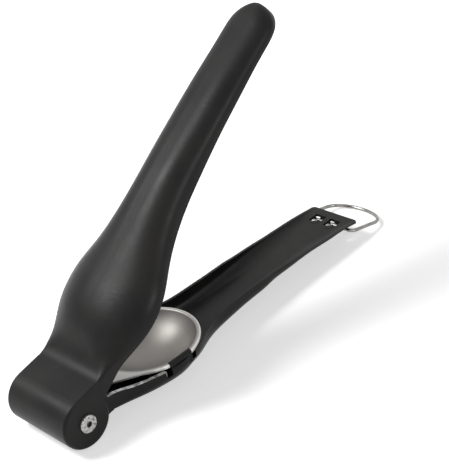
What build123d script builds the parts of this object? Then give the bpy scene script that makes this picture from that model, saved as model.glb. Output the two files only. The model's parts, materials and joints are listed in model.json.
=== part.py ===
from build123d import *
import math
import os

# Chestnut cutter: two pressed steel handles on one hinge, a dish for the nut and a cross of two blades.
# It is built about the hinge axle: X runs along the lower handle, Y along the axle and Z up.
# What the upper handle carries is built closed, lying along X too, and is then turned open about the axle.
# All lengths are millimetres and all angles are degrees.

# Sheets and wires
handle_sheet = 1.2
cup_sheet = 0.8
blade_sheet = 0.9
tab_sheet = 1.1
ring_wire = 1.5
spring_wire = 1.2

# Fits and gaps
axle_fit = 0.05
blade_fit = 0.04
wall_gap = 0.4
washer_play = 0.04
overrun = 6.0

# Whole tool
open_angle = 36.0
upper_reach = 166.1
lower_reach = 152.4
cup_centre = 44.0

# Widths that follow the bowl: its flange, the lower handle round it and the dome over both
bowl_radius = 19.6
flange_width = 1.4
flange_side_gap = 0.3
dome_side_gap = 0.6
blade_end_gap = 4.6
plate_end_gap = 0.5
flange_radius = bowl_radius + flange_width
lower_cup_half_width = flange_radius + flange_side_gap
dome_half_width = lower_cup_half_width + handle_sheet + dome_side_gap
blade_reach = bowl_radius - blade_end_gap
plate_length = 2 * (blade_reach + plate_end_gap)

# Hinge
barrel_radius = 10.3
barrel_half_width = 17.0
barrel_edge_round = 1.1
roof_start_angle = 66.0
lip_angle = -61.0
stop_play_angle = 2.6
ear_front_angle = -9.0
sleeve_radius = 2.6
screw_radius = 1.75
head_radius = 3.5
head_height = 1.1
head_edge = 0.4
socket_radius = 1.1
socket_depth = 0.7
washer_radius = 5.2
lug_radius = 5.6
spool_wall = 1.1

# Opening spring
spring_whole_turns = 7
spring_length = 13.2
spring_clearance = 0.45
spring_quarter_samples = 12
spring_lower_overhang = 5.0
spring_upper_reach = 14.0

# Upper handle, measured closed
neck_start = 12.6
neck_tangent_run = 1.2
neck_rim = -1.5
dome_crown = 12.4
dome_rim = 0.3
grip_half_width = 12.3
grip_crown = 13.3
grip_rim = 4.6
tip_half_width = 11.2
tip_crown = 10.3
tip_rim = 3.9
tip_nose = 2.6

# Lower handle
lower_start = 11.8
lower_neck_half_width = barrel_half_width - handle_sheet - wall_gap
lower_neck_top = 3.4
lower_neck_depth = 3.6
lower_cup_rim = 0.9
lower_cup_depth = 6.7
lower_grip_start = 92.0
lower_grip_half_width = 11.8
lower_grip_rim = 2.5
lower_grip_depth = 4.6
lower_end_half_width = 12.4
lower_end_rim = -0.55
lower_end_depth = 1.75
lower_end_corner = 1.6
lower_inner_corner = 0.3

# Crimp of the cup
crimp_centre = 43.0
crimp_length = 10.4
crimp_sheet = 0.7
crimp_grip = 1.5
crimp_inset = 0.4
notch_length = 2.4
notch_depth = 3.0
notch_width = 5.0

# Cup
flange_top = 2.4
flange_lip = 0.5
flange_edge_round = 0.5
flange_neck_end = 17.5
flange_neck_half_width = 8.6
flange_corner = 3.0
bowl_depth = 9.7
bowl_edge_round = 0.6

# Blades
plate_height = 6.4
plate_corner = 6.0
blade_clearance = 2.2
tooth_count = 10
tooth_depth = 1.3
blade_tab_offset = 8.5
blade_tab_length = 4.0

# Locking ring, and the windows that its tabs are lanced out of
ring_end_gap = 5.1
ring_pivot_x = lower_reach - ring_end_gap
ring_reach = 22.8
ring_bow = 8.8
ring_corner = 2.2
ring_fit = 0.1
ring_side_gap = 0.25
ring_droop = 13.3
window_length = 5.4
window_width = 5.6
window_offset = 4.0
ring_tab_run = 4.4
ring_tab_width = 3.2
ring_tab_lip_angle = 10.0

# Rows of the neck and dome: place from the neck to the dome, width from the barrel's to the dome's,
# roof from the neck's to the dome's, rim from the neck's to the dome's, and the corner as a share of the section
neck_shares = [
    (0.15, 0.03, -0.04, 0.15, 0.20),
    (0.29, 0.18, 0.16, 0.62, 0.55),
    (0.47, 0.49, 0.56, 0.85, 0.84),
    (0.66, 0.79, 0.85, 0.90, 0.90),
    (0.87, 0.98, 0.98, 0.95, 0.92),
]

# Rows from the dome to the grip's end: place from the dome to the tip's centre, width from the grip's to the
# dome's, roof and rim from the dome's to the grip's, and the corner as a share of the section
grip_shares = [
    (0.02, 0.99, 0.05, 0.03, 0.92),
    (0.085, 0.865, 0.00, 0.13, 0.92),
    (0.15, 0.60, 0.06, 0.22, 0.90),
    (0.215, 0.355, 0.25, 0.33, 0.85),
    (0.29, 0.17, 0.62, 0.47, 0.81),
    (0.38, 0.055, 0.97, 0.65, 0.80),
    (0.49, 0.01, 0.95, 0.83, 0.80),
]
# Rows of the grip: place as above, then width, roof and rim from the grip's to the tip's
grip_taper_shares = [
    (0.63, 0.20, 0.22, 0.00),
    (0.79, 0.52, 0.50, 0.02),
    (0.94, 0.90, 0.88, 0.65),
]
grip_corner_share = 0.80
tip_angles = [0, 22, 40, 55, 68, 78, 85]

# Rows of the lower handle: place along it, then half width, rim and floor from one named size to the next, and the
# corner's width and height as shares of the half width and of the height. The groups run from the neck to the cup,
# from the cup to the grip and from the grip to the flat end
lower_neck_shares = [
    (0.10, 0.015, 0.16, 0.25, 0.09, 0.19),
    (0.22, 0.07, 0.55, 0.52, 0.13, 0.28),
    (0.38, 0.28, 0.94, 0.77, 0.18, 0.43),
    (0.57, 0.62, 1.04, 0.94, 0.23, 0.61),
    (0.78, 0.93, 1.00, 1.00, 0.27, 0.74),
    (1.00, 1.00, 0.97, 1.00, 0.28, 0.78),
]
lower_grip_shares = [
    (0.15, 0.14, 0.06, 0.17, 0.31, 0.83),
    (0.30, 0.44, 0.12, 0.29, 0.315, 0.74),
    (0.47, 0.79, 0.37, 0.41, 0.335, 0.63),
    (0.66, 0.94, 0.76, 0.60, 0.37, 0.58),
    (0.83, 0.99, 0.93, 0.81, 0.43, 0.61),
    (1.00, 1.00, 1.00, 1.00, 0.48, 0.65),
]
lower_end_shares = [
    (0.13, -0.10, 0.02, 0.16, 0.55, 0.73),
    (0.28, -0.10, 0.12, 0.40, 0.61, 0.85),
    (0.43, 0.15, 0.30, 0.63, 0.59, 0.95),
    (0.65, 0.75, 0.52, 0.86, 0.53, 0.97),
    (0.85, 1.00, 0.75, 0.98, 0.40, 0.96),
    (0.925, 1.00, 0.89, 1.00, 0.28, 0.90),
    (0.97, 1.00, 0.97, 1.00, 0.14, 0.66),
    (1.00, 1.00, 1.00, 1.00, 0.06, 0.40),
]


def blend(start, end, share):
    """Value a share of the way from start to end."""
    return start + (end - start) * share


def polar(radius, angle):
    """Point in the XZ plane at a radius and at an angle up from +X."""
    return (radius * math.cos(math.radians(angle)), radius * math.sin(math.radians(angle)))


def side_face(*edges):
    """Face in the XZ plane from edges drawn as (x, z)."""
    return Plane.XZ * make_face(edges)


def slab(face, low_y, high_y):
    """Solid of a face in the XZ plane between two places across the tool."""
    return Pos(0, high_y, 0) * extrude(face, high_y - low_y)


def across(radius, low_y, high_y):
    """Cylinder about the axle."""
    return slab(Plane.XZ * Circle(radius), low_y, high_y)


def both_sides(solid):
    """A solid and its mirror image on the tool's other side."""
    return solid + mirror(solid, Plane.XZ)


def roof_section(x, half_width, top, rim, corner_across, corner_up):
    """Section across the upper handle: two sides, two corner arcs, a roof and an open rim closed by a line."""
    side = top - corner_up
    flat = half_width - corner_across
    outline = make_face([
        Line((half_width, rim), (half_width, side)),
        EllipticalCenterArc((flat, side), corner_across, corner_up, 0, arc_size=90),
        Line((flat, top), (-flat, top)),
        EllipticalCenterArc((-flat, side), corner_across, corner_up, 90, arc_size=90),
        Line((-half_width, side), (-half_width, rim)),
        Line((-half_width, rim), (half_width, rim)),
    ])
    return Plane(origin=(x, 0, 0), x_dir=(0, 1, 0), z_dir=(1, 0, 0)) * outline


def channel_section(x, half_width, top, bottom, corner_across, corner_up):
    """Section across the lower handle: two sides, two corner arcs, a floor and an open top closed by a line."""
    turn = bottom + corner_up
    flat = half_width - corner_across
    outline = make_face([
        Line((-half_width, top), (-half_width, turn)),
        EllipticalCenterArc((-flat, turn), corner_across, corner_up, 180, arc_size=90),
        Line((-flat, bottom), (flat, bottom)),
        EllipticalCenterArc((flat, turn), corner_across, corner_up, 270, arc_size=90),
        Line((half_width, turn), (half_width, top)),
        Line((half_width, top), (-half_width, top)),
    ])
    return Plane(origin=(x, 0, 0), x_dir=(0, 1, 0), z_dir=(1, 0, 0)) * outline


# Upper handle: the roof leaves the barrel along a tangent, dips at the neck and swells into the dome

roof_start = polar(barrel_radius, roof_start_angle)
roof_slope = -1 / math.tan(math.radians(roof_start_angle))
dome_x = cup_centre - neck_tangent_run
tip_x = upper_reach - tip_half_width


def slanted(length):
    """Length measured straight up across the slope of the neck's roof."""
    return length / math.sin(math.radians(roof_start_angle))


def tangent_top(x):
    """Height of the straight stretch of roof in front of the barrel."""
    return roof_start[1] + (x - roof_start[0]) * roof_slope


def upper_rows():
    """Place, half width, roof, rim and corner size of every section of the upper handle."""
    rows = []
    for x in (neck_start, neck_start + neck_tangent_run):
        rows.append((x, barrel_half_width, tangent_top(x), neck_rim, barrel_edge_round, slanted(barrel_edge_round)))
    neck_top = tangent_top(neck_start + neck_tangent_run)
    for place, wide, high, low, corner in neck_shares:
        x = blend(neck_start, dome_x, place) + neck_tangent_run
        width = blend(barrel_half_width, dome_half_width, wide)
        top = blend(neck_top, dome_crown, high)
        rim = blend(neck_rim, dome_rim, low)
        rows.append((x, width, top, rim, width * corner, (top - rim) * corner))
    for place, wide, high, low, corner in grip_shares:
        x = blend(dome_x, tip_x, place)
        width = blend(grip_half_width, dome_half_width, wide)
        top = blend(dome_crown, grip_crown, high)
        rim = blend(dome_rim, grip_rim, low)
        rows.append((x, width, top, rim, width * corner, (top - rim) * corner))
    for place, narrow, high, low in grip_taper_shares:
        x = blend(dome_x, tip_x, place)
        width = blend(grip_half_width, tip_half_width, narrow)
        top = blend(grip_crown, tip_crown, high)
        rim = blend(grip_rim, tip_rim, low)
        rows.append((x, width, top, rim, width * grip_corner_share, (top - rim) * grip_corner_share))
    for angle in tip_angles:
        width, reach = polar(tip_half_width, angle)
        height = blend(tip_nose, tip_crown - tip_rim, math.sqrt(width / tip_half_width))
        corner = width * grip_corner_share
        rows.append((tip_x + reach, width, tip_rim + height, tip_rim, corner, height * grip_corner_share))
    return rows


def inset_row(row):
    """The same section one sheet further in, run out past the rim and short of the tip."""
    x, width, top, rim, corner_across, corner_up = row
    shrink = handle_sheet / tip_half_width
    x = min(x, tip_x + (x - tip_x) * (1 - shrink))
    inner = max(width - handle_sheet, width * shrink)
    height = max(top - rim - handle_sheet, (top - rim) * shrink)
    ratio = (inner / width, height / (top - rim))
    return (x, inner, rim + height, rim - overrun, corner_across * ratio[0], corner_up * ratio[1])


def make_upper_handle():
    rows = upper_rows()
    barrel = across(barrel_radius, -barrel_half_width, barrel_half_width)
    ends = barrel.edges().filter_by(GeomType.CIRCLE)
    barrel = fillet(ends, barrel_edge_round)
    front = polar(barrel_radius, ear_front_angle)
    neck_top = tangent_top(neck_start)
    cheek = side_face(Polyline((0, 0), roof_start, (neck_start, neck_top), (neck_start, neck_rim), front, (0, 0)))
    neck = slab(cheek, -barrel_half_width, barrel_half_width)
    roof_edges = neck.edges().filter_by(Axis.Y, reverse=True).sort_by(Axis.Z)[-2:]
    neck = fillet(roof_edges, barrel_edge_round)
    outer = barrel + neck + loft([roof_section(*row) for row in rows])
    inner_half = barrel_half_width - handle_sheet
    inner_radius = barrel_radius - handle_sheet
    start = polar(inner_radius, roof_start_angle)
    low = -barrel_radius - overrun
    lip = (-low / math.tan(math.radians(-lip_angle)), low)
    under_roof = (neck_start, neck_top - slanted(handle_sheet))
    mouth = side_face(Polyline((0, 0), start, under_roof, (neck_start, low), lip, (0, 0)))
    hollow = across(inner_radius, -inner_half, inner_half) + slab(mouth, -inner_half, inner_half)
    hollow += loft([roof_section(*inset_row(row)) for row in rows])
    return outer - hollow - across(sleeve_radius, -barrel_half_width - overrun, barrel_half_width + overrun), hollow


# Lower handle: a channel that swells round the cup, with lugs at the hinge and curled tabs at the end

lower_neck = (lower_start, lower_neck_half_width, lower_neck_top, -lower_neck_depth)
lower_cup = (cup_centre, lower_cup_half_width, lower_cup_rim, -lower_cup_depth)
lower_grip = (lower_grip_start, lower_grip_half_width, lower_grip_rim, -lower_grip_depth)
lower_end = (lower_reach, lower_end_half_width, lower_end_rim, -lower_end_depth)


def lower_rows():
    """Place, half width, rim, floor and corner sizes of every section of the lower handle."""
    rows = [(*lower_neck, handle_sheet, handle_sheet)]
    groups = [
        (lower_neck, lower_cup, lower_neck_shares),
        (lower_cup, lower_grip, lower_grip_shares),
        (lower_grip, lower_end, lower_end_shares),
    ]
    for start, end, table in groups:
        for *shares, corner_across, corner_up in table:
            x, width, top, floor = (blend(one, other, share) for one, other, share in zip(start, end, shares))
            rows.append((x, width, top, floor, width * corner_across, (top - floor) * corner_up))
    return rows


def make_lower_handle():
    rows = lower_rows()
    outer = loft([channel_section(*row) for row in rows])
    inner = []
    for x, width, top, floor, *corner in rows:
        corner = [max(size - handle_sheet, lower_inner_corner) for size in corner]
        inner.append(channel_section(x, width - handle_sheet, top + overrun, floor + handle_sheet, *corner))
    channel = outer - loft(inner)
    wall_in = lower_neck_half_width - handle_sheet
    lug_end = lower_start + handle_sheet
    stop_angle = lip_angle + open_angle + stop_play_angle
    inside = polar(barrel_radius - handle_sheet - wall_gap, stop_angle)
    outside = polar(barrel_radius + wall_gap, stop_angle)
    low_turn = polar(lug_radius, tangent_angle(lug_radius, *inside, -1))
    top_turn = polar(lug_radius, tangent_angle(lug_radius, lower_start, lower_neck_top, 1))
    lug = side_face(
        ThreePointArc(top_turn, (-lug_radius, 0), low_turn),
        *Polyline(low_turn, inside, outside, (lower_start, -lower_neck_depth), (lug_end, -lower_neck_depth),
                  (lug_end, lower_neck_top), (lower_start, lower_neck_top), top_turn).edges(),
    )
    channel += both_sides(slab(lug, wall_in, lower_neck_half_width))
    channel -= across(sleeve_radius + axle_fit, -barrel_half_width, barrel_half_width)
    channel -= bowl_outside()
    for side in (-1, 1):
        channel -= end_corner(side)
        channel -= ring_window(side)
        channel += ring_tab(side)
        for end in (-1, 1):
            channel -= crimp_notch(side, end)
    channel += both_sides(crimp_tab())
    return channel


def end_corner(side):
    """What comes off to round a corner of the flat end."""
    square = Pos(lower_reach, side * lower_end_half_width) * Rectangle(2 * lower_end_corner, 2 * lower_end_corner)
    middle = (lower_reach - lower_end_corner, side * (lower_end_half_width - lower_end_corner))
    return Pos(0, 0, -overrun) * extrude(square - Pos(*middle) * Circle(lower_end_corner), 2 * overrun)


def crimp_notch(side, end):
    """Slot through the rim at one end of a crimp tab."""
    x = crimp_centre + end * (crimp_length + notch_length) / 2
    deep = lower_cup_rim - notch_depth
    y = side * lower_cup_half_width
    return Pos(x, y, (deep + overrun) / 2) * Box(notch_length, 2 * notch_width, overrun - deep)


def crimp_tab():
    """Stretch of rim folded inwards over the cup's flange."""
    out = lower_cup_half_width - crimp_inset
    top = flange_top + crimp_sheet
    reach = flange_radius - crimp_grip
    low = lower_cup_rim - notch_depth
    outline = Polyline(
        (out, low), (out, flange_top), (out - crimp_sheet, top), (reach, top), (reach, flange_top),
        (out - handle_sheet, flange_top), (out - handle_sheet, low), (out, low),
    )
    face = Plane(origin=(crimp_centre, 0, 0), x_dir=(0, 1, 0), z_dir=(1, 0, 0)) * make_face(outline)
    return Pos(-crimp_length / 2, 0, 0) * extrude(face, crimp_length)


def ring_window(side):
    """Hole in the floor that a tab was lanced out of."""
    middle = ring_pivot_x - ring_tab_run + window_length / 2
    return Pos(middle, side * window_offset, -lower_end_depth) * Box(window_length, window_width, overrun)


def ring_pivot_z():
    """Height of the ring's straight run, just under the floor."""
    return -lower_end_depth - ring_fit - ring_wire / 2


def ring_tab_back():
    """Outer radius of the curled tabs."""
    return ring_wire / 2 + ring_fit + tab_sheet


def ring_tab(side):
    """Tab curled down and round the ring's straight run."""
    back = ring_tab_back()
    bore = back - tab_sheet
    edge = ring_pivot_x - ring_tab_run
    root_top = -lower_end_depth + handle_sheet
    join = (edge - tab_sheet, -lower_end_depth)
    across_join = (ring_pivot_x - join[0], ring_pivot_z() - join[1])
    away = math.hypot(*across_join)
    toward = math.degrees(math.atan2(join[1] - ring_pivot_z(), join[0] - ring_pivot_x))
    leave = toward + math.degrees(math.acos(back / away))

    def about_pivot(radius, angle):
        x, z = polar(radius, angle)
        return (ring_pivot_x + x, ring_pivot_z() + z)

    inner_leave = 180
    lip = 360 + ring_tab_lip_angle
    face = side_face(
        ThreePointArc(about_pivot(bore, inner_leave), about_pivot(bore, 270), about_pivot(bore, lip)),
        Line(about_pivot(bore, lip), about_pivot(back, lip)),
        ThreePointArc(about_pivot(back, lip), about_pivot(back, 270), about_pivot(back, leave)),
        Line(about_pivot(back, leave), join),
        Line(join, (join[0], root_top)),
        Line((join[0], root_top), (edge, root_top)),
        Line((edge, root_top), about_pivot(bore, inner_leave)),
    )
    middle = side * window_offset
    return slab(face, middle - ring_tab_width / 2, middle + ring_tab_width / 2)


# Cup: a dish with a flange that runs out in a tongue towards the hinge

bowl_sphere = (bowl_radius ** 2 + bowl_depth ** 2) / (2 * bowl_depth)
bowl_middle_z = flange_top - bowl_depth + bowl_sphere


def bowl_cap(radius):
    """Solid of the bowl's lower part at a radius about its centre, cut off level with the flange."""
    ball = Pos(cup_centre, 0, bowl_middle_z) * Sphere(radius)
    keep = Pos(cup_centre, 0, flange_top - radius) * Box(2 * radius, 2 * radius, 2 * radius)
    return ball & keep


def bowl_outside():
    """Outer shape of the bowl, which its seat in the lower handle is cut with."""
    return bowl_cap(bowl_sphere + cup_sheet)


def bowl_point(radius, across_centre=None, height=None):
    """Point of the bowl's section at a radius about its sphere's centre, by its place or by its height."""
    if height is None:
        height = bowl_middle_z - math.sqrt(radius ** 2 - across_centre ** 2)
    else:
        across_centre = math.sqrt(radius ** 2 - (bowl_middle_z - height) ** 2)
    return (across_centre, height)


def make_nut_cup():
    inner = bowl_sphere
    outer = bowl_sphere + cup_sheet
    flange_low = flange_top - cup_sheet
    half = bowl_radius / 2
    lip_low = flange_low - flange_lip
    lip_in = flange_radius - cup_sheet
    outer_edge = bowl_point(outer, height=flange_low)
    section = make_face([
        ThreePointArc(bowl_point(inner, 0), bowl_point(inner, half), (bowl_radius, flange_top)),
        *Polyline((bowl_radius, flange_top), (flange_radius, flange_top), (flange_radius, lip_low),
                  (lip_in, lip_low), (lip_in, flange_low), outer_edge).edges(),
        ThreePointArc(outer_edge, bowl_point(outer, half), bowl_point(outer, 0)),
        Line(bowl_point(outer, 0), bowl_point(inner, 0)),
    ])
    for across_centre, size in ((flange_radius, flange_edge_round), (bowl_radius, bowl_edge_round)):
        corner = section.vertices().sort_by_distance((across_centre, flange_top))[:1]
        section = fillet(corner, size)
    dish = Pos(cup_centre, 0, 0) * revolve(Plane.XZ * section, Axis.Z)
    lean = math.atan2(flange_radius - flange_neck_half_width, cup_centre - flange_neck_end)
    touch = (cup_centre - flange_radius * math.sin(lean), flange_radius * math.cos(lean))
    end = (flange_neck_end, flange_neck_half_width)
    tongue = make_face(Polyline(touch, end, (end[0], -end[1]), (touch[0], -touch[1]), touch))
    tongue = fillet(tongue.vertices().sort_by(Axis.X)[:2], flange_corner)
    tongue -= Pos(cup_centre, 0, 0) * Circle((bowl_radius + flange_radius) / 2)
    cup = dish + Pos(0, 0, flange_low) * extrude(tongue, cup_sheet)
    seat_in = lower_cup_half_width - crimp_inset - handle_sheet - blade_fit
    seat = Box(crimp_length + 2 * blade_fit, flange_radius, overrun, align=(Align.CENTER, Align.MIN, Align.CENTER))
    return cup - both_sides(Pos(crimp_centre, seat_in, flange_top) * seat)


# Blades: a plate seated in the dome, with two toothed blades halved into each other

def plate_solid(hollow):
    rim = Pos(cup_centre, 0, plate_height) * RectangleRounded(plate_length, 2 * dome_half_width, plate_corner)
    plate = extrude(rim, blade_sheet) & hollow
    for angle in (0, 90):
        for side in (-1, 1):
            slot = Pos(side * blade_tab_offset, 0, 0) * Box(
                blade_tab_length + 2 * blade_fit, blade_sheet + 2 * blade_fit, overrun)
            plate -= Pos(cup_centre, 0, plate_height) * Rot(0, 0, angle) * slot
    return plate


def blade_solid(slot_from_top):
    """Toothed blade along X through the cup's centre, halved to take the other one."""
    edge_radius = bowl_sphere - blade_clearance

    def edge_point(offset, lift):
        drop = math.sqrt((edge_radius - lift) ** 2 - offset ** 2)
        return (cup_centre + offset, bowl_middle_z - drop)

    pitch = 2 * blade_reach / tooth_count
    points = [(cup_centre - blade_reach, plate_height)]
    for tooth in range(tooth_count):
        root = -blade_reach + tooth * pitch
        points.append(edge_point(root, tooth_depth))
        points.append(edge_point(root + pitch / 2, 0))
    points.append(edge_point(blade_reach, tooth_depth))
    points.append((cup_centre + blade_reach, plate_height))
    for side in (1, -1):
        middle = cup_centre + side * blade_tab_offset
        for end, lift in ((1, 0), (1, blade_sheet), (-1, blade_sheet), (-1, 0)):
            points.append((middle + end * blade_tab_length / 2, plate_height + lift))
    points.append(points[0])
    blade = slab(side_face(Polyline(*points)), -blade_sheet / 2, blade_sheet / 2)
    tip = edge_point(0, 0)[1]
    middle = (plate_height + tip) / 2
    width = blade_sheet + 2 * blade_fit
    shift = overrun if slot_from_top else -overrun
    return blade - Pos(cup_centre, 0, middle + shift) * Box(width, width, 2 * overrun)


# Locking ring: a wire loop with a straight run under the tabs, two legs past the walls and a round end

def ring_end():
    """Place of the ring's free end, which hangs a little below its pivot."""
    x, z = polar(ring_reach, -ring_droop)
    return (ring_pivot_x + x, ring_pivot_z() + z)


def rest_tilt():
    """Angle that brings the barrel and the ring's end down to the table together."""
    x, z = ring_end()
    lift = math.asin((barrel_radius - ring_wire / 2) / math.hypot(x, z))
    return math.degrees(lift + math.atan2(z, x))


def make_ring():
    half = lower_end_half_width + ring_side_gap + ring_wire / 2
    leg = ring_reach - ring_bow
    outline = make_face([
        Line((leg, -half), (0, -half)),
        Line((0, -half), (0, half)),
        Line((0, half), (leg, half)),
        EllipticalCenterArc((leg, 0), ring_bow, half, -90, arc_size=180),
    ])
    outline = fillet(outline.vertices().sort_by(Axis.X)[:2], ring_corner)
    path = outline.face().outer_wire()
    wire = sweep(Plane(origin=path @ 0, z_dir=path % 0) * Circle(ring_wire / 2), path=path)
    return Pos(ring_pivot_x, 0, ring_pivot_z()) * Rot(0, ring_droop, 0) * wire


# Hinge hardware

def make_screw():
    face_y = -barrel_half_width
    head = across(head_radius, face_y - head_height, face_y)
    head = fillet(head.edges().sort_by(Axis.Y)[:1], head_edge)
    shank = across(screw_radius, face_y, -face_y - handle_sheet)
    socket = Pos(0, face_y - head_height + socket_depth, 0) * extrude(
        Plane.XZ * RegularPolygon(socket_radius, 6), overrun)
    return head + shank - socket


def make_sleeve():
    face_y = barrel_half_width
    head = across(head_radius, face_y, face_y + head_height)
    head = fillet(head.edges().sort_by(Axis.Y)[-1:], head_edge)
    barrel = across(sleeve_radius, -face_y, face_y)
    return head + barrel - across(screw_radius, -face_y - overrun, face_y - handle_sheet)


def make_washer(side):
    face = lower_neck_half_width
    width = wall_gap - washer_play
    ring = across(washer_radius, face, face + width) - across(sleeve_radius + axle_fit, 0, face + overrun)
    return ring if side > 0 else mirror(ring, Plane.XZ)


def make_spool():
    half = lower_neck_half_width - handle_sheet
    bore = sleeve_radius + axle_fit
    return across(bore + spool_wall, -half, half) - across(bore, -half - overrun, half + overrun)


def tangent_angle(radius, reach, height, side):
    """Angle at which a line from a point outside touches a circle about the axle."""
    away = math.hypot(reach, height)
    return math.degrees(math.atan2(height, reach) + side * math.acos(radius / away))


def biarc(start, start_way, end, end_way):
    """Two arcs that leave start and reach end in the ways given and join smoothly."""
    span = end - start
    both = start_way + end_way
    unlike = 2 * (1 - start_way.dot(end_way))
    along = span.dot(both)
    pull = (math.sqrt(along ** 2 + unlike * span.dot(span)) - along) / unlike
    joint = (start + end + (start_way - end_way) * pull) / 2
    return [TangentArc(start, joint, tangent=start_way), TangentArc(end, joint, tangent=end_way * -1)]


def make_spring():
    """One unbroken wire: a leg on the lower handle's floor, the coil, and a leg up to the upper handle's roof."""
    coil = sleeve_radius + axle_fit + spool_wall + spring_clearance + spring_wire / 2
    rest_z = -lower_neck_depth + handle_sheet + spring_wire / 2 + axle_fit
    roof = tangent_top(spring_upper_reach) - slanted(handle_sheet)
    upper_z = roof - spring_wire / 2 - wall_gap
    upper_turn = math.degrees(math.atan2(upper_z, spring_upper_reach)) + open_angle
    leg_rest = (lower_start, rest_z)
    upper_end = polar(math.hypot(spring_upper_reach, upper_z), upper_turn)
    first = tangent_angle(coil, *leg_rest, -1)
    last = tangent_angle(coil, *upper_end, 1)
    turns = spring_whole_turns + (first - last) % 360 / 360
    rise = spring_length / (turns * 360)

    def place(angle):
        x, z = polar(coil, first - angle)
        return Vector(x, angle * rise - spring_length / 2, z)

    def way(angle):
        x, z = polar(coil, first - angle - 90)
        return Vector(x, math.degrees(rise), z).normalized()

    quarters = math.ceil(turns * 4)
    stops = [turns * 360 * share / quarters for share in range(quarters + 1)]
    legs = [math.sqrt(math.hypot(*end) ** 2 - coil ** 2) for end in (leg_rest, upper_end)]
    legs[0] += spring_lower_overhang
    edges = [Line(place(0) - way(0) * legs[0], place(0))]
    for start, end in zip(stops[:-1], stops[1:]):
        edges += biarc(place(start), way(start), place(end), way(end))
    edges.append(Line(place(stops[-1]), place(stops[-1]) + way(stops[-1]) * legs[1]))
    path = Wire(edges)
    spring = sweep(Plane(origin=path @ 0, z_dir=path % 0) * Circle(spring_wire / 2), path=path)
    step = stops[1] / spring_quarter_samples
    samples = [place(step * count) for count in range(quarters * spring_quarter_samples)]
    half_turn = spring_quarter_samples * 2
    least = min((one - other).length for index, one in enumerate(samples) for other in samples[index + half_turn:])
    print("spring turns", round(turns, 2), "least gap between them", round(least - spring_wire, 2), "mm")
    return spring


# Placing: the upper handle is turned open, and the whole tool is laid on its barrel and its ring

def opened(solid):
    return Rot(0, -open_angle, 0) * solid


upper_handle, upper_hollow = make_upper_handle()
blade_plate = plate_solid(upper_hollow)
long_blade = blade_solid(True)
cross_blade = Pos(cup_centre, 0, 0) * Rot(0, 0, 90) * Pos(-cup_centre, 0, 0) * blade_solid(False)
nodes = {
    "upper_handle": opened(upper_handle),
    "blade_plate": opened(blade_plate),
    "long_blade": opened(long_blade),
    "cross_blade": opened(cross_blade),
    "hinge_screw": opened(make_screw()),
    "hinge_sleeve": opened(make_sleeve()),
    "lower_handle": make_lower_handle(),
    "nut_cup": make_nut_cup(),
    "near_washer": make_washer(-1),
    "far_washer": make_washer(1),
    "spring_spool": make_spool(),
    "opening_spring": make_spring(),
    "locking_ring": make_ring(),
}
tilt = Rot(0, rest_tilt(), 0)
box = Compound(children=[Part(tilt * solid) for solid in nodes.values()]).bounding_box()
place = Pos(-(box.min.X + box.max.X) / 2, 0, barrel_radius)
for name, solid in nodes.items():
    export_step(place * tilt * solid, f"parts/{name}.step")
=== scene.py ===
import json
import math

import bpy
from mathutils import Matrix, Vector


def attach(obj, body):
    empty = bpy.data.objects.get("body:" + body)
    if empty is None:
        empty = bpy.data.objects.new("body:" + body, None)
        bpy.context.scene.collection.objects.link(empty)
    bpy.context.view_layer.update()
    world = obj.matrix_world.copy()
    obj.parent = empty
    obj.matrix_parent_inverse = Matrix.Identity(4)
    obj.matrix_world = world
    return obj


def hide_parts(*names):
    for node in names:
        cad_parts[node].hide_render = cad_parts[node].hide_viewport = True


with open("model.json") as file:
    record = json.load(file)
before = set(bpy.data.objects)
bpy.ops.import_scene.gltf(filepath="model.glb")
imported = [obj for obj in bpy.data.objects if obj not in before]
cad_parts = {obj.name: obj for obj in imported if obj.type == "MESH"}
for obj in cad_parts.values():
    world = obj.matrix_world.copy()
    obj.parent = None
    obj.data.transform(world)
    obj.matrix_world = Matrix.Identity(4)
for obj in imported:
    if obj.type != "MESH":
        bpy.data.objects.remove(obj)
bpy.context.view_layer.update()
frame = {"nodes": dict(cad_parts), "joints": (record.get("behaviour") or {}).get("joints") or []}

# Chestnut cutter, open on a white floor. Lengths are metres. X runs from the hinge to the free ends,
# Y across to the far side and Z up, as in the frame.

MM = 0.001

# Camera of the photograph and the ring's pivot, about the hinge with X along the lower handle
CAMERA_PLACE = Vector((-188.7, -349.1, 285.0)) * MM
CAMERA_LOOK = Vector((0.54081, 0.67341, -0.50403))
CAMERA_RIGHT = Vector((0.69940, -0.69290, -0.17532))
CAMERA_LENS = 103.55
CAMERA_SENSOR = 36.0
RING_PIVOT_X = 147.3 * MM
RING_PIVOT_Z = -2.6 * MM

# Floor, room and lamps. To the eye the floor is lifted by a share of white out to SHADOW_REACH, which
# keeps the shadow, and by all of it from SHADOW_END on. The room lights the object with a share of white.
WHITE = (1.0, 1.0, 1.0)
FLOOR_SIZE = 4.0
FLOOR_ROUGHNESS = 0.9
FLOOR_LIFT = 0.52
SHADOW_REACH = 0.13
SHADOW_END = 3 * SHADOW_REACH
ROOM_FILL = 0.13
LAMP_TARGET = Vector((0.0, 0.0, 0.04))
SOFT_BOX_PLACE = Vector((-0.34, 0.38, 0.66))
SOFT_BOX_SIZE = (0.24, 0.30)
SOFT_BOX_POWER = 4.6
FILL_BOX_PLACE = Vector((0.05, -0.72, 0.36))
FILL_BOX_SIZE = (0.20, 0.20)
FILL_BOX_POWER = 1.1

# Range that most of a noise pattern lies in
NOISE_RANGE = (0.3, 0.7)

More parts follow.
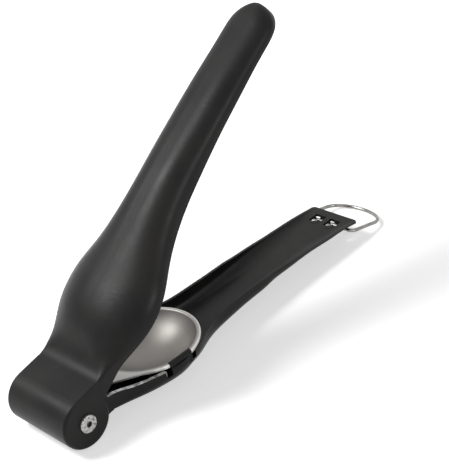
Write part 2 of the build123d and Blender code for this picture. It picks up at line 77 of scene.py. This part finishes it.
# Coating of the handles. Patterns are counted in spots a metre.
COATING = (0.0075, 0.0075, 0.0076)
COATING_LIGHT = (0.0170, 0.0160, 0.0150)
COATING_ROUGHNESS = (0.31, 0.46)
COATING_SPECULAR = 0.17
MOTTLE_SCALE = 45.0
MOTTLE_RANGE = (0.38, 0.66)
GLOSS_SCALE = 24.0
GLOSS_RANGE = (0.36, 0.64)
PEEL_SCALE = 2000.0
PEEL_DEPTH = 0.05 * MM
PEEL_STRENGTH = 0.6

# Rim of the lower handle, about the hinge. It falls from the neck to the cup. Its edge is bare steel
# in patches, deeper down beside the notch: partly wear, partly a painted highlight of the rounded rim.
RIM_HIGHLIGHT_STEEL = (0.50, 0.50, 0.50)
NECK_START = 11.8 * MM
NECK_END = 25.0 * MM
NECK_RIM = 3.4 * MM
CUP_RIM = 0.92 * MM
NOTCH_START = 35.4 * MM
EDGE_DEPTH = 0.42 * MM
EDGE_FADE_START = 0.6 * EDGE_DEPTH
NOTCH_EDGE_DEPTH = 6 * EDGE_DEPTH
NOTCH_EDGE_FADE_START = 4 * EDGE_DEPTH
WEAR_SCALE = 700.0
WEAR_RANGE = (0.35, 0.6)
LEAST_WEAR = 0.35

# Cup, about its middle
CUP_STEEL = (0.27, 0.258, 0.242)
# Painted shade on the bowl towards its rim
CUP_SHADE = (0.11, 0.105, 0.099)
# Painted shade: a shaded grey for the band just inside the rolled lip
CUP_FLANGE_SHADE = (0.36, 0.35, 0.335)
# Painted highlight on the rolled lip
CUP_BEAD_HIGHLIGHT = (0.66, 0.65, 0.63)
CUP_ROUGHNESS = (0.42, 0.52)
CUP_CENTRE = 44.0 * MM
CUP_WALL_START = 15.5 * MM
CUP_WALL_SHADE = 0.8
BOWL_RADIUS = 19.6 * MM
FLANGE_RADIUS = 21.0 * MM
BEAD_WIDTH = 0.4 * MM
CUP_RING_SCALE = 2600.0
CUP_RING_BRIGHTNESS = (0.6, 1.0)
CUP_CLOUD_SCALE = 60.0
CUP_CLOUD_RANGE = (0.3, 0.6)
CUP_CLOUD_BRIGHTNESS = (0.75, 1.0)

# Other metal: marks a metre along X, Y and Z
STEEL = (0.50, 0.485, 0.46)
STEEL_DARK = (0.27, 0.26, 0.245)
PLATED = (0.36, 0.35, 0.34)
PLATED_DARK = (0.07, 0.067, 0.063)
MARK_BRIGHTNESS = (0.4, 1.0)
MARK_DEPTH = 0.01 * MM
MARK_STRENGTH = 0.3
BLADE_MARKS = (200.0, 2500.0, 200.0)
BLADE_ROUGHNESS = (0.22, 0.36)
HINGE_MARKS = (1500.0, 1500.0, 1500.0)
HINGE_ROUGHNESS = (0.3, 0.5)
RING_MARKS = (420.0, 420.0, 420.0)
RING_ROUGHNESS = (0.15, 0.28)
SPRING_MARKS = (900.0, 900.0, 900.0)
SPRING_ROUGHNESS = (0.25, 0.4)

# Hinge screw, about the axle
SCREW_STEEL = (0.46, 0.45, 0.43)
# Dark of the pits, and painted shade in the socket
SCREW_PIT_AND_SOCKET_SHADE = (0.09, 0.087, 0.083)
SCREW_ROUGHNESS = (0.36, 0.5)
SOCKET_RADIUS = 1.1 * MM
SOCKET_EDGE = 1.25 * SOCKET_RADIUS
PIT_SCALE = 1100.0
PIT_RANGE = (0.50, 0.62)
PIT_DEPTH = 0.08 * MM
PIT_STRENGTH = 0.5

# Spool
SPOOL_PLASTIC = (0.045, 0.045, 0.047)
SPOOL_LIGHT = (0.0675, 0.0675, 0.0705)
SPOOL_ROUGHNESS = (0.4, 0.6)
SPOOL_CLOUD_SCALE = 300.0
SPOOL_DEPTH = 0.03 * MM
SPOOL_STRENGTH = 0.3

# Opening spring, about the axle: angles in degrees
SPRING_WIRE = 1.2 * MM
WIRE_ROUNDNESS = 3
COIL_RADIUS = 4.8 * MM
COIL_LENGTH = 13.2 * MM
COIL_FIRST = -74.709
COIL_TURNING = 2687.93
COIL_STEP = 10.0
LEG_WRAP = 60.0
LOWER_LEG = 15.92 * MM
UPPER_LEG = 13.43 * MM


def joint_place(name):
    """Place of a joint in the frame."""
    for joint in frame["joints"]:
        if joint["name"] == name:
            return Vector(joint["pos_m"])
    raise ValueError(name)


axle = joint_place("handle_hinge")
lever = joint_place("ring_hinge") - axle
tilt = math.atan2(RING_PIVOT_Z, RING_PIVOT_X) - math.atan2(lever.z, lever.x)
hinge_frame = Matrix.Translation(axle) @ Matrix.Rotation(tilt, 4, "Y")


# Materials

class Finish:
    """A node material with its surface shader and the object's own coordinates."""

    def __init__(self, name, metallic=0.0):
        self.material = bpy.data.materials.new(name)
        self.material.use_nodes = True
        self.nodes = self.material.node_tree.nodes
        self.links = self.material.node_tree.links
        self.shader = self.nodes["Principled BSDF"]
        self.shader.inputs["Metallic"].default_value = metallic
        self.place = self.nodes.new("ShaderNodeTexCoord").outputs["Object"]

    def link(self, output, name):
        self.links.new(output, self.shader.inputs[name])

    def stretched(self, scale):
        """Object coordinates in another scale."""
        node = self.nodes.new("ShaderNodeMapping")
        node.inputs["Scale"].default_value = scale
        self.links.new(self.place, node.inputs["Vector"])
        return node.outputs["Vector"]

    def parts(self, vector):
        """X, Y and Z of a vector."""
        node = self.nodes.new("ShaderNodeSeparateXYZ")
        self.links.new(vector, node.inputs["Vector"])
        return node.outputs["X"], node.outputs["Y"], node.outputs["Z"]

    def hinge_parts(self):
        """X, Y and Z about the hinge, with X along the lower handle."""
        node = self.nodes.new("ShaderNodeMapping")
        node.vector_type = "TEXTURE"
        node.inputs["Location"].default_value = axle
        node.inputs["Rotation"].default_value = (0.0, tilt, 0.0)
        self.links.new(self.place, node.inputs["Vector"])
        return self.parts(node.outputs["Vector"])

    def joined(self, *parts):
        """Vector of up to three values."""
        node = self.nodes.new("ShaderNodeCombineXYZ")
        for value, socket in zip(parts, node.inputs):
            self.links.new(value, socket)
        return node.outputs["Vector"]

    def noise(self, per_metre, detail, roughness=0.5, place=None):
        """Cloudy pattern between 0 and 1, some spots a metre."""
        node = self.nodes.new("ShaderNodeTexNoise")
        node.inputs["Scale"].default_value = per_metre
        node.inputs["Detail"].default_value = detail
        node.inputs["Roughness"].default_value = roughness
        self.links.new(place or self.place, node.inputs["Vector"])
        return node.outputs["Fac"]

    def mapped(self, value, given, wanted=(0.0, 1.0), smooth=False):
        """Maps the given range of a value onto the wanted one, and holds its ends beyond."""
        node = self.nodes.new("ShaderNodeMapRange")
        node.inputs["From Min"].default_value, node.inputs["From Max"].default_value = given
        if smooth:
            node.interpolation_type = "SMOOTHSTEP"
        node.inputs["To Min"].default_value, node.inputs["To Max"].default_value = wanted
        self.links.new(value, node.inputs["Value"])
        return node.outputs["Result"]

    def calculate(self, kind, *values):
        """One step of arithmetic on outputs and plain numbers."""
        node = self.nodes.new("ShaderNodeMath")
        node.operation = kind
        for socket, value in zip(node.inputs, values):
            if isinstance(value, float):
                socket.default_value = value
            else:
                self.links.new(value, socket)
        return node.outputs["Value"]

    def distance(self, one, other):
        """Distance from an axis, by the two parts across it."""
        squares = [self.calculate("MULTIPLY", part, part) for part in (one, other)]
        return self.calculate("SQRT", self.calculate("ADD", *squares))

    def mix(self, share, one, other):
        """Colour a share of the way from one to the other."""
        node = self.nodes.new("ShaderNodeMix")
        node.data_type = "RGBA"
        self.links.new(share, node.inputs["Factor"])
        colours = [socket for socket in node.inputs if socket.type == "RGBA"]
        for socket, value in zip(colours, (one, other)):
            if isinstance(value, tuple):
                socket.default_value = (*value, 1.0)
            else:
                self.links.new(value, socket)
        return next(socket for socket in node.outputs if socket.type == "RGBA")

    def bump(self, height, depth, strength):
        node = self.nodes.new("ShaderNodeBump")
        node.inputs["Distance"].default_value = depth
        node.inputs["Strength"].default_value = strength
        self.links.new(height, node.inputs["Height"])
        self.link(node.outputs["Normal"], "Normal")


def coating(name):
    """Satin black powder coating with a fine orange peel, and its faintly mottled colour."""
    finish = Finish(name)
    mottle = finish.noise(MOTTLE_SCALE, detail=6.0, roughness=0.6)
    colour = finish.mix(finish.mapped(mottle, MOTTLE_RANGE), COATING, COATING_LIGHT)
    gloss = finish.noise(GLOSS_SCALE, detail=5.0, roughness=0.6)
    finish.link(finish.mapped(gloss, GLOSS_RANGE, COATING_ROUGHNESS), "Roughness")
    finish.shader.inputs["Specular IOR Level"].default_value = COATING_SPECULAR
    finish.bump(finish.noise(PEEL_SCALE, detail=2.0), PEEL_DEPTH, PEEL_STRENGTH)
    return finish, colour


def upper_coating():
    finish, colour = coating("upper_coating")
    finish.link(colour, "Base Color")
    return finish.material


def painted_rim_highlight(finish):
    """1 on the rim's edge from the hinge to the notch, partly wear and partly painted highlight, otherwise
    0.
    """
    x, _, z = finish.hinge_parts()
    rim = finish.mapped(x, (NECK_START, NECK_END), (NECK_RIM, CUP_RIM), smooth=True)
    depth = finish.calculate("SUBTRACT", rim, z)
    top_edge = finish.mapped(depth, (EDGE_FADE_START, EDGE_DEPTH), (1.0, 0.0))
    end_edge = finish.mapped(x, (NOTCH_START - EDGE_DEPTH, NOTCH_START - EDGE_FADE_START))
    near_top = finish.mapped(depth, (NOTCH_EDGE_FADE_START, NOTCH_EDGE_DEPTH), (1.0, 0.0))
    edge = finish.calculate("MAXIMUM", top_edge, finish.calculate("MULTIPLY", end_edge, near_top))
    past_lug = finish.calculate("GREATER_THAN", x, NECK_START)
    before_notch = finish.calculate("LESS_THAN", x, NOTCH_START + EDGE_DEPTH)
    wear = finish.mapped(finish.noise(WEAR_SCALE, detail=3.0), WEAR_RANGE, (LEAST_WEAR, 1.0))
    for share in (before_notch, past_lug, wear):
        edge = finish.calculate("MULTIPLY", edge, share)
    return edge


def lower_coating():
    """The same coating, with bare steel on the rim: partly wear, partly a painted highlight."""
    finish, colour = coating("lower_coating")
    bare = painted_rim_highlight(finish)
    # Partly wear, partly painted highlight: bare steel on the rim's edge
    finish.link(finish.mix(bare, colour, RIM_HIGHLIGHT_STEEL), "Base Color")
    finish.link(bare, "Metallic")
    return finish.material


def cup_steel():
    """Stainless sheet pressed and polished on a lathe: fine rings about the cup's middle. Painted shade
    darkens the bowl towards its rim, a shaded grey is painted on the band inside the rolled lip, and the
    lip itself carries a painted highlight.
    """
    finish = Finish("cup_steel", metallic=1.0)
    x, y, z = finish.hinge_parts()
    radius = finish.distance(finish.calculate("SUBTRACT", x, CUP_CENTRE), y)
    rings = finish.noise(CUP_RING_SCALE, detail=3.0, roughness=0.6, place=finish.joined(radius, z))
    cloud = finish.noise(CUP_CLOUD_SCALE, detail=3.0)
    bright_rings = finish.mapped(rings, NOISE_RANGE, CUP_RING_BRIGHTNESS)
    bright_cloud = finish.mapped(cloud, CUP_CLOUD_RANGE, CUP_CLOUD_BRIGHTNESS)
    bright = finish.calculate("MULTIPLY", bright_rings, bright_cloud)
    # Painted shade: the bowl darkens towards its rim
    painted_wall_shade = finish.mapped(radius, (CUP_WALL_START, BOWL_RADIUS))
    flange_shade = finish.mapped(radius, (BOWL_RADIUS - BEAD_WIDTH, BOWL_RADIUS))
    bead_highlight = finish.mapped(radius, (FLANGE_RADIUS - 2 * BEAD_WIDTH, FLANGE_RADIUS - BEAD_WIDTH))
    colour = finish.mix(bright, STEEL_DARK, CUP_STEEL)
    colour = finish.mix(finish.calculate("MULTIPLY", painted_wall_shade, CUP_WALL_SHADE), colour, CUP_SHADE)
    # Painted shade: the band inside the lip in a shaded grey
    colour = finish.mix(flange_shade, colour, CUP_FLANGE_SHADE)
    # Painted highlight: the rolled lip in a light colour
    finish.link(finish.mix(bead_highlight, colour, CUP_BEAD_HIGHLIGHT), "Base Color")
    finish.link(finish.mapped(rings, NOISE_RANGE, CUP_ROUGHNESS), "Roughness")
    finish.bump(rings, MARK_DEPTH, MARK_STRENGTH)
    return finish.material


def worked_steel(name, colour, dark, marks_per_metre, roughness):
    """Steel with fine marks that run the way it was worked."""
    finish = Finish(name, metallic=1.0)
    marks = finish.noise(1.0, detail=3.0, roughness=0.6, place=finish.stretched(marks_per_metre))
    bright = finish.mapped(marks, NOISE_RANGE, MARK_BRIGHTNESS)
    finish.link(finish.mix(bright, dark, colour), "Base Color")
    finish.link(finish.mapped(marks, NOISE_RANGE, roughness), "Roughness")
    finish.bump(marks, MARK_DEPTH, MARK_STRENGTH)
    return finish.material


def screw_steel():
    """Zinc plated steel, pitted by use, with painted shade darkening the socket."""
    finish = Finish("screw_steel", metallic=1.0)
    x, _, z = finish.hinge_parts()
    # Painted shade: the socket is darkened as a recess
    socket = finish.mapped(finish.distance(x, z), (SOCKET_RADIUS, SOCKET_EDGE), (1.0, 0.0))
    pits = finish.mapped(finish.noise(PIT_SCALE, detail=3.0, roughness=0.7), PIT_RANGE)
    dark = finish.calculate("MAXIMUM", socket, pits)
    finish.link(finish.mix(dark, SCREW_STEEL, SCREW_PIT_AND_SOCKET_SHADE), "Base Color")
    finish.link(finish.mapped(pits, (0.0, 1.0), SCREW_ROUGHNESS), "Roughness")
    finish.bump(pits, PIT_DEPTH, PIT_STRENGTH)
    return finish.material


def spool_plastic():
    finish = Finish("spool_plastic")
    cloud = finish.noise(SPOOL_CLOUD_SCALE, detail=3.0)
    finish.link(finish.mix(cloud, SPOOL_PLASTIC, SPOOL_LIGHT), "Base Color")
    finish.link(finish.mapped(cloud, (0.0, 1.0), SPOOL_ROUGHNESS), "Roughness")
    finish.bump(cloud, SPOOL_DEPTH, SPOOL_STRENGTH)
    return finish.material


def finish_node(name, material):
    """Gives a frame node its material."""
    node = frame["nodes"][name]
    node.data.materials.clear()
    node.data.materials.append(material)


# Opening spring

def coil_point(angle):
    """Centre of the wire about the axle, some degrees along the coil."""
    turn = math.radians(COIL_FIRST - angle)
    across = COIL_LENGTH * (angle / COIL_TURNING - 0.5)
    return Vector((COIL_RADIUS * math.cos(turn), across, COIL_RADIUS * math.sin(turn)))


def coil_way(angle):
    """Direction of the wire there."""
    turn = math.radians(COIL_FIRST - angle - 90.0)
    climb = COIL_LENGTH / (COIL_RADIUS * math.radians(COIL_TURNING))
    return Vector((math.cos(turn), climb, math.sin(turn))).normalized()


def spring_line(start, end, before=0.0, after=0.0):
    """Centreline of the coil between two angles, with a straight leg before or after."""
    count = round((end - start) / COIL_STEP)
    points = [coil_point(start + (end - start) * step / count) for step in range(count + 1)]
    if before:
        points.insert(0, points[0] - coil_way(start) * before)
    if after:
        points.append(points[-1] + coil_way(end) * after)
    return [hinge_frame @ point for point in points]


def make_wire(name, points, material):
    """Round spring wire along the points."""
    bpy.ops.object.select_all(action="DESELECT")
    bpy.ops.curve.primitive_nurbs_path_add(location=(0.0, 0.0, 0.0))
    wire = bpy.context.active_object
    wire.name = name
    line = wire.data
    line.splines.clear()
    spline = line.splines.new("POLY")
    spline.points.add(len(points) - 1)
    for point, place in zip(spline.points, points):
        point.co = (*place, 1.0)
    line.dimensions = "3D"
    line.bevel_depth = SPRING_WIRE / 2
    line.bevel_resolution = WIRE_ROUNDNESS
    line.use_fill_caps = True
    bpy.ops.object.convert(target="MESH")
    bpy.ops.object.shade_smooth()
    wire.data.materials.append(material)
    return wire


def make_spring(material):
    """The coil stays with the lower handle, and the last of its wire winds on with the upper one."""
    coil_line = spring_line(0.0, COIL_TURNING, before=LOWER_LEG)
    leg_line = spring_line(COIL_TURNING - LEG_WRAP, COIL_TURNING, after=UPPER_LEG)
    coil = make_wire("spring_coil", coil_line, material)
    leg = make_wire("spring_leg", leg_line, material)
    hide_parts("opening_spring")
    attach(coil, "lower")
    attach(leg, "upper")


# Stage

def make_camera():
    turn = hinge_frame.to_3x3()
    look = (turn @ CAMERA_LOOK).normalized()
    right = (turn @ CAMERA_RIGHT).normalized()
    up = right.cross(look)
    matrix = Matrix((right, up, -look)).transposed().to_4x4()
    matrix.translation = hinge_frame @ CAMERA_PLACE
    data = bpy.data.cameras.new("photo_camera")
    data.lens = CAMERA_LENS
    data.sensor_width = CAMERA_SENSOR
    camera = bpy.data.objects.new("photo_camera", data)
    camera.matrix_world = matrix
    bpy.context.scene.collection.objects.link(camera)
    bpy.context.scene.camera = camera


def seen_directly(nodes, links):
    """1 for rays of the camera and of shining surfaces, otherwise 0."""
    path = nodes.new("ShaderNodeLightPath")
    seen = path.outputs["Is Camera Ray"]
    for kind in ("Is Glossy Ray", "Is Transmission Ray"):
        either = nodes.new("ShaderNodeMath")
        either.operation = "MAXIMUM"
        links.new(seen, either.inputs[0])
        links.new(path.outputs[kind], either.inputs[1])
        seen = either.outputs["Value"]
    return seen


def white_paper():
    """White that keeps the shadow and is lifted for the eye and for what shines, fully so further out."""
    finish = Finish("white_floor")
    for name in ("Base Color", "Emission Color"):
        finish.shader.inputs[name].default_value = (*WHITE, 1.0)
    finish.shader.inputs["Roughness"].default_value = FLOOR_ROUGHNESS
    x, y, _ = finish.parts(finish.place)
    share = finish.mapped(finish.distance(x, y), (SHADOW_REACH, SHADOW_END), (FLOOR_LIFT, 1.0), smooth=True)
    seen = seen_directly(finish.nodes, finish.links)
    finish.link(finish.calculate("MULTIPLY", seen, share), "Emission Strength")
    return finish.material


def make_floor():
    bpy.ops.object.select_all(action="DESELECT")
    bpy.ops.mesh.primitive_plane_add(size=FLOOR_SIZE, location=(0.0, 0.0, 0.0))
    floor = bpy.context.active_object
    floor.name = "floor"
    floor.data.materials.append(white_paper())


def make_lamp(name, place, size, power):
    data = bpy.data.lights.new(name, "AREA")
    data.shape = "RECTANGLE"
    data.size, data.size_y = size
    data.energy = power
    lamp = bpy.data.objects.new(name, data)
    lamp.location = place
    lamp.rotation_euler = (LAMP_TARGET - place).to_track_quat("-Z", "Y").to_euler()
    bpy.context.scene.collection.objects.link(lamp)


def light_studio():
    """A white room that the camera and the metal see, its soft fill, a soft box from the hinge's end on
    the far side and a weak one from the near side."""
    world = bpy.data.worlds.new("studio")
    world.use_nodes = True
    nodes, links = world.node_tree.nodes, world.node_tree.links
    background = nodes["Background"]
    background.inputs["Color"].default_value = (*WHITE, 1.0)
    strength = nodes.new("ShaderNodeMapRange")
    strength.inputs["To Min"].default_value = ROOM_FILL
    strength.inputs["To Max"].default_value = 1.0
    links.new(seen_directly(nodes, links), strength.inputs["Value"])
    links.new(strength.outputs["Result"], background.inputs["Strength"])
    bpy.context.scene.world = world
    make_lamp("soft_box", SOFT_BOX_PLACE, SOFT_BOX_SIZE, SOFT_BOX_POWER)
    make_lamp("fill_box", FILL_BOX_PLACE, FILL_BOX_SIZE, FILL_BOX_POWER)


make_camera()
make_floor()
light_studio()

finish_node("upper_handle", upper_coating())
finish_node("lower_handle", lower_coating())
finish_node("nut_cup", cup_steel())
finish_node("locking_ring", worked_steel("ring_wire", PLATED, PLATED_DARK, RING_MARKS, RING_ROUGHNESS))
finish_node("hinge_screw", screw_steel())
for part_name in ("hinge_sleeve", "near_washer", "far_washer"):
    part_steel = worked_steel(part_name + "_steel", STEEL, STEEL_DARK, HINGE_MARKS, HINGE_ROUGHNESS)
    finish_node(part_name, part_steel)
finish_node("spring_spool", spool_plastic())
spring_steel = worked_steel("spring_wire", STEEL, STEEL_DARK, SPRING_MARKS, SPRING_ROUGHNESS)
finish_node("opening_spring", spring_steel)
make_spring(spring_steel)
for part_name in ("blade_plate", "long_blade", "cross_blade"):
    part_steel = worked_steel(part_name + "_steel", STEEL, STEEL_DARK, BLADE_MARKS, BLADE_ROUGHNESS)
    finish_node(part_name, part_steel)

bpy.context.scene.view_settings.view_transform = "Standard"
